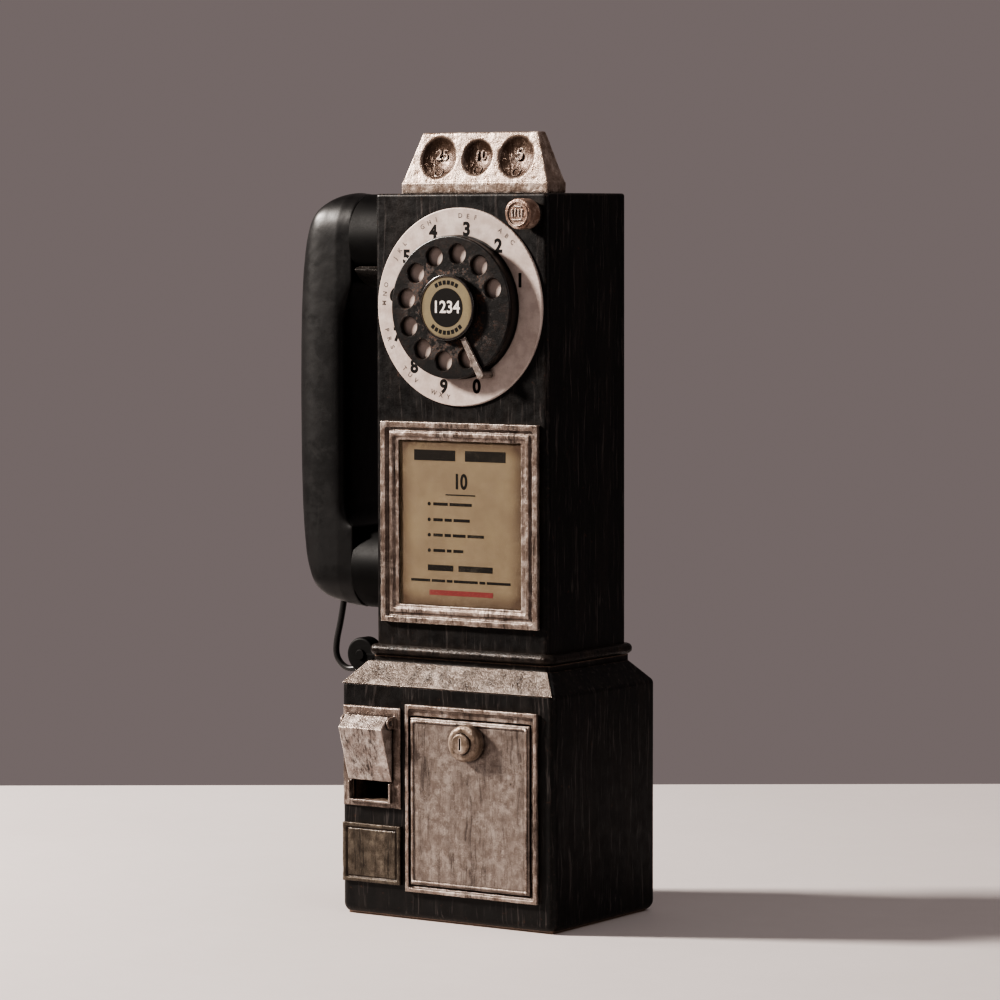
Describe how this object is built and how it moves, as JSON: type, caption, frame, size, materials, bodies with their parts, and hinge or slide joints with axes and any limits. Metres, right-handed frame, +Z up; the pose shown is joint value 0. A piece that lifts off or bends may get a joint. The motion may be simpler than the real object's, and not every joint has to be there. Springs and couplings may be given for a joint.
{
  "type": "coin telephone",
  "caption": "Wall or table coin telephone with rotary dial, side handset on a cord, coin gauge, coin return and locked cash vault.",
  "frame": {"origin": "middle of the underside of the lower housing, where it stands on a table", "axes": "+X to the right seen from the front, +Y to the back, +Z up"},
  "size_m": [0.2154, 0.1259, 0.463],
  "materials": {
    "casing_black": "worn satin",
    "bronze_silver": "brushed, worn",
    "dial_face": "matt",
    "wheel_black": "satin",
    "dark_plastic": "matt",
    "card": "aged",
    "clear": "clear",
    "steel": "plain",
    "brass": "plain",
    "rubber": "matt",
    "insulator": "matt"
  },
  "bodies": {
    "housing": {"upper_housing": "casing_black", "lower_housing": "casing_black", "base_plate": "casing_black", "lower_back_cover": "casing_black", "upper_back_cover": "casing_black", "slope_panel": "bronze_silver", "collar_bead": "bronze_silver", "coin_gauge": "bronze_silver", "instruction_frame": "bronze_silver", "coin_return_plate": "bronze_silver", "inspection_panel": "bronze_silver", "vault_frame": "bronze_silver", "number_plate": "dial_face", "cover_screws": "steel", "finger_stop": "steel", "dial_case": "steel", "return_spring": "steel", "pinion_post": "steel", "button_nut": "steel", "button_spring": "steel", "flap_pin": "steel", "return_tray": "steel", "vault_liner": "steel", "hook_bracket": "steel", "hook_pin": "steel", "ringer_plate": "steel", "clapper_pin": "steel", "coin_chute": "steel", "button_bush": "steel", "dial_bearing": "brass", "gongs": "brass", "instruction_card": "card", "instruction_window": "clear", "cord_outlet": "dark_plastic", "handset_cord": "rubber", "terminal_block": "insulator", "ringer_coil": "insulator"},
    "dial": {"finger_wheel": "wheel_black", "hub_ring": "wheel_black", "hub_card": "card", "dial_shaft": "steel", "main_gear": "brass"},
    "governor": {"governor_pinion": "brass"},
    "button": {"push_button": "bronze_silver", "button_clip": "steel"},
    "coin_flap": {"coin_return_flap": "bronze_silver"},
    "vault_door": {"vault_door": "bronze_silver", "lock_ring": "bronze_silver"},
    "lock": {"lock_plug": "steel", "lock_tongue": "steel"},
    "cash_box": {"cash_box": "steel"},
    "handset": {"handset_handle": "dark_plastic", "ear_cap": "dark_plastic", "mouth_cap": "dark_plastic", "receiver_capsule": "dark_plastic", "transmitter_capsule": "dark_plastic", "handset_bush": "rubber"},
    "hook": {"hook_lever": "steel"},
    "clapper": {"clapper": "steel"}
  },
  "joints": [
    {"name": "dial_turn", "type": "hinge", "parent": "housing", "child": "dial", "pos_m": [0, -0.0396, 0.3608], "axis": [0, 1, 0], "range_deg": [0, 338], "stiffness_Nm_per_rad": 0.01, "springref_deg": -34.38},
    {"name": "governor_spin", "type": "hinge", "parent": "housing", "child": "governor", "pos_m": [0, -0.028, 0.38505], "axis": [0, 1, 0], "range_deg": [-1015, 1]},
    {"name": "button_press", "type": "slide", "parent": "housing", "child": "button", "axis": [0, 1, 0], "range_m": [0, 0.0025], "stiffness_N_per_m": 300, "springref_m": -0.002, "deforming": ["button_spring"]},
    {"name": "coin_flap_swing", "type": "hinge", "parent": "housing", "child": "coin_flap", "pos_m": [-0.0525, -0.061, 0.1162], "axis": [-1, 0, 0], "range_deg": [0, 50]},
    {"name": "vault_door_pull", "type": "slide", "parent": "housing", "child": "vault_door", "axis": [0, -1, 0], "range_m": [0, 0.12]},
    {"name": "lock_turn", "type": "hinge", "parent": "vault_door", "child": "lock", "pos_m": [0.01765, -0.0556, 0.1082], "axis": [0, -1, 0], "range_deg": [0, 90]},
    {"name": "cash_box_draw", "type": "slide", "parent": "housing", "child": "cash_box", "axis": [0, -1, 0], "range_m": [0, 0.0605]},
    {"name": "handset_lift", "type": "slide", "parent": "housing", "child": "handset", "axis": [0, 0, 1], "range_m": [0, 0.012]},
    {"name": "hook_rise", "type": "hinge", "parent": "housing", "child": "hook", "pos_m": [-0.0479, 0.003, 0.3711], "axis": [0, 1, 0], "range_deg": [0, 7.1]},
    {"name": "clapper_swing", "type": "hinge", "parent": "housing", "child": "clapper", "pos_m": [0, 0.0209, 0.227], "axis": [0, 1, 0], "range_deg": [-2.5, 2.5]}
  ],
  "couplings": [
    {"joint": "governor_spin", "follows": "dial_turn", "ratio": -3},
    {"joint": "cash_box_draw", "follows": "vault_door_pull", "ratio": 0.5},
    {"joint": "hook_rise", "follows": "handset_lift", "rad_per_m": 10.181}
  ]
}
